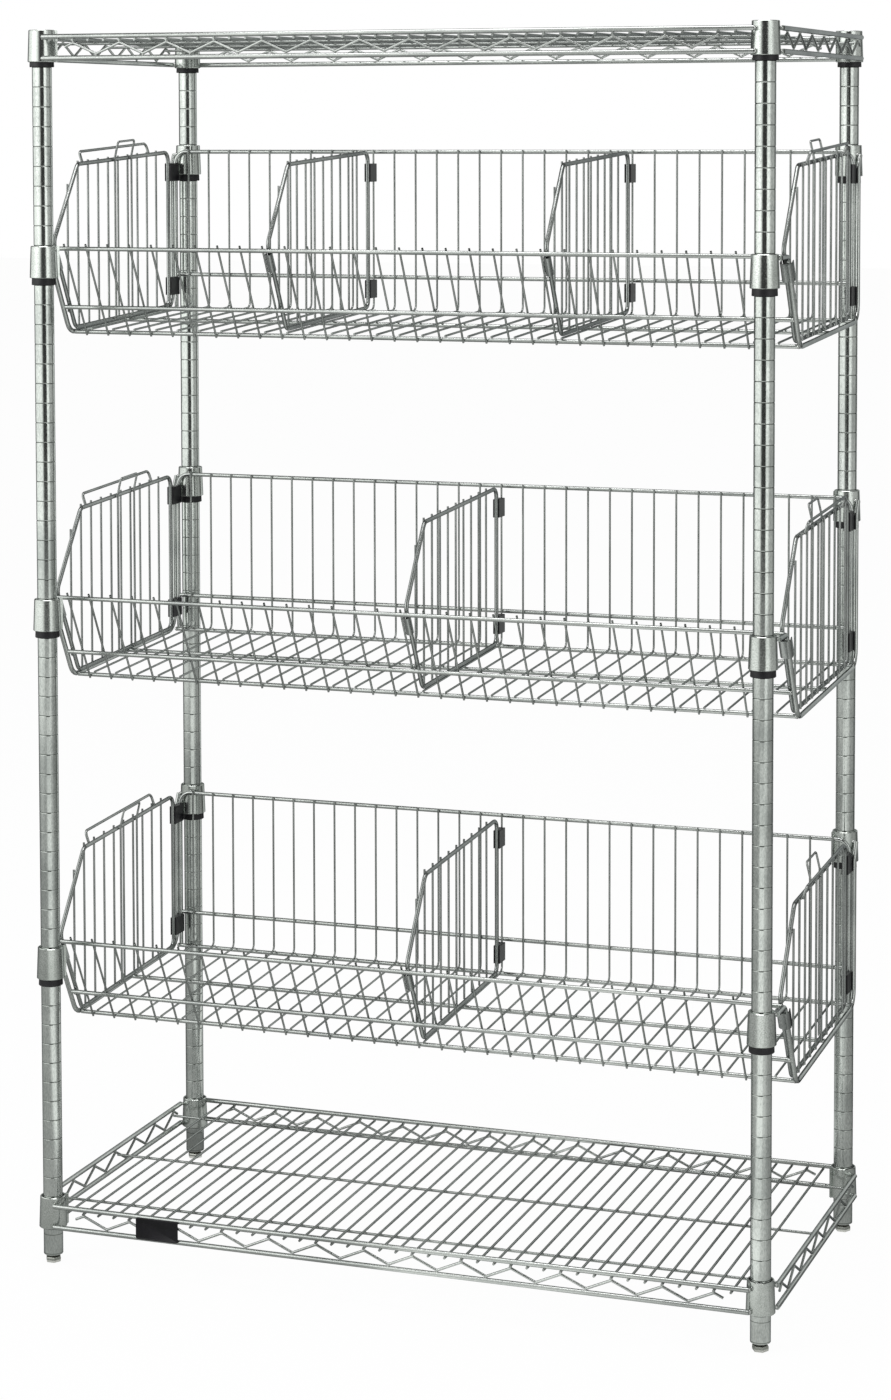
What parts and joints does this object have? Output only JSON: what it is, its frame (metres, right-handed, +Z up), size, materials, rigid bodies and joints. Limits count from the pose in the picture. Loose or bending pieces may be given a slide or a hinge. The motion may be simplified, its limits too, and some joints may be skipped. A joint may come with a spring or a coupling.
{
  "type": "wire basket stand",
  "caption": "Wire display stand: notched round posts carry a flat top shelf, sloped-front baskets with lift-out dividers and a bottom shelf on split sleeves; levelling feet.",
  "frame": {"origin": "on the floor under the middle of the stand", "axes": "+Z up, -Y towards the front with the sloped basket fronts, +X to the right when facing the front"},
  "size_m": [0.9968, 0.502, 1.6095],
  "materials": {
    "chrome": "bright plated",
    "zinc_steel": "satin",
    "black_plastic": "moulded, slightly rough",
    "cap_plastic": "moulded",
    "badge_black": "gloss"
  },
  "bodies": {
    "stand": {"post_front_left": "chrome", "post_front_right": "chrome", "post_rear_left": "chrome", "post_rear_right": "chrome", "foot_sockets": "black_plastic", "post_caps": "cap_plastic", "split_sleeves_top_shelf": "black_plastic", "split_sleeves_basket_1": "black_plastic", "split_sleeves_basket_2": "black_plastic", "split_sleeves_basket_3": "black_plastic", "split_sleeves_bottom_shelf": "black_plastic", "bottom_shelf_collars": "chrome", "bottom_shelf_front_truss": "chrome", "bottom_shelf_rear_truss": "chrome", "bottom_shelf_left_truss": "chrome", "bottom_shelf_right_truss": "chrome", "bottom_shelf_mat": "chrome", "badge_plate": "badge_black"},
    "top_shelf": {"top_shelf_collars": "chrome", "top_shelf_front_truss": "chrome", "top_shelf_rear_truss": "chrome", "top_shelf_left_truss": "chrome", "top_shelf_right_truss": "chrome", "top_shelf_mat": "chrome"},
    "basket_1": {"basket_1_collars": "chrome", "basket_1_back_grille": "chrome", "basket_1_floor_grille": "chrome", "basket_1_front_grille": "chrome", "basket_1_end_frames": "chrome", "basket_1_left_end_panel": "chrome", "basket_1_right_end_panel": "chrome", "basket_1_panel_clips": "black_plastic"},
    "basket_2": {"basket_2_collars": "chrome", "basket_2_back_grille": "chrome", "basket_2_floor_grille": "chrome", "basket_2_front_grille": "chrome", "basket_2_end_frames": "chrome", "basket_2_left_end_panel": "chrome", "basket_2_right_end_panel": "chrome", "basket_2_panel_clips": "black_plastic"},
    "basket_3": {"basket_3_collars": "chrome", "basket_3_back_grille": "chrome", "basket_3_floor_grille": "chrome", "basket_3_front_grille": "chrome", "basket_3_end_frames": "chrome", "basket_3_left_end_panel": "chrome", "basket_3_right_end_panel": "chrome", "basket_3_panel_clips": "black_plastic"},
    "basket_1_divider_left": {"basket_1_divider_left": "chrome", "basket_1_divider_left_clips": "black_plastic"},
    "basket_1_divider_right": {"basket_1_divider_right": "chrome", "basket_1_divider_right_clips": "black_plastic"},
    "basket_2_divider": {"basket_2_divider": "chrome", "basket_2_divider_clips": "black_plastic"},
    "basket_3_divider": {"basket_3_divider": "chrome", "basket_3_divider_clips": "black_plastic"},
    "foot_front_left": {"foot_front_left": "zinc_steel"},
    "foot_front_right": {"foot_front_right": "zinc_steel"},
    "foot_rear_left": {"foot_rear_left": "zinc_steel"},
    "foot_rear_right": {"foot_rear_right": "zinc_steel"}
  },
  "joints": [
    {"name": "top_shelf_lift", "type": "slide", "parent": "stand", "child": "top_shelf", "axis": [0, 0, 1], "range_m": [0, 0.06]},
    {"name": "basket_1_lift", "type": "slide", "parent": "stand", "child": "basket_1", "axis": [0, 0, 1], "range_m": [0, 0.048]},
    {"name": "basket_2_lift", "type": "slide", "parent": "stand", "child": "basket_2", "axis": [0, 0, 1], "range_m": [0, 0.048]},
    {"name": "basket_3_lift", "type": "slide", "parent": "stand", "child": "basket_3", "axis": [0, 0, 1], "range_m": [0, 0.048]},
    {"name": "basket_1_divider_left_lift", "type": "slide", "parent": "basket_1", "child": "basket_1_divider_left", "axis": [0, 0, 1], "range_m": [0, 0.045]},
    {"name": "basket_1_divider_right_lift", "type": "slide", "parent": "basket_1", "child": "basket_1_divider_right", "axis": [0, 0, 1], "range_m": [0, 0.045]},
    {"name": "basket_2_divider_lift", "type": "slide", "parent": "basket_2", "child": "basket_2_divider", "axis": [0, 0, 1], "range_m": [0, 0.045]},
    {"name": "basket_3_divider_lift", "type": "slide", "parent": "basket_3", "child": "basket_3_divider", "axis": [0, 0, 1], "range_m": [0, 0.045]},
    {"name": "foot_front_left_screw", "type": "slide", "parent": "stand", "child": "foot_front_left", "axis": [0, 0, 1], "range_m": [-0.015, 0]},
    {"name": "foot_front_right_screw", "type": "slide", "parent": "stand", "child": "foot_front_right", "axis": [0, 0, 1], "range_m": [-0.015, 0]},
    {"name": "foot_rear_left_screw", "type": "slide", "parent": "stand", "child": "foot_rear_left", "axis": [0, 0, 1], "range_m": [-0.015, 0]},
    {"name": "foot_rear_right_screw", "type": "slide", "parent": "stand", "child": "foot_rear_right", "axis": [0, 0, 1], "range_m": [-0.015, 0]}
  ]
}
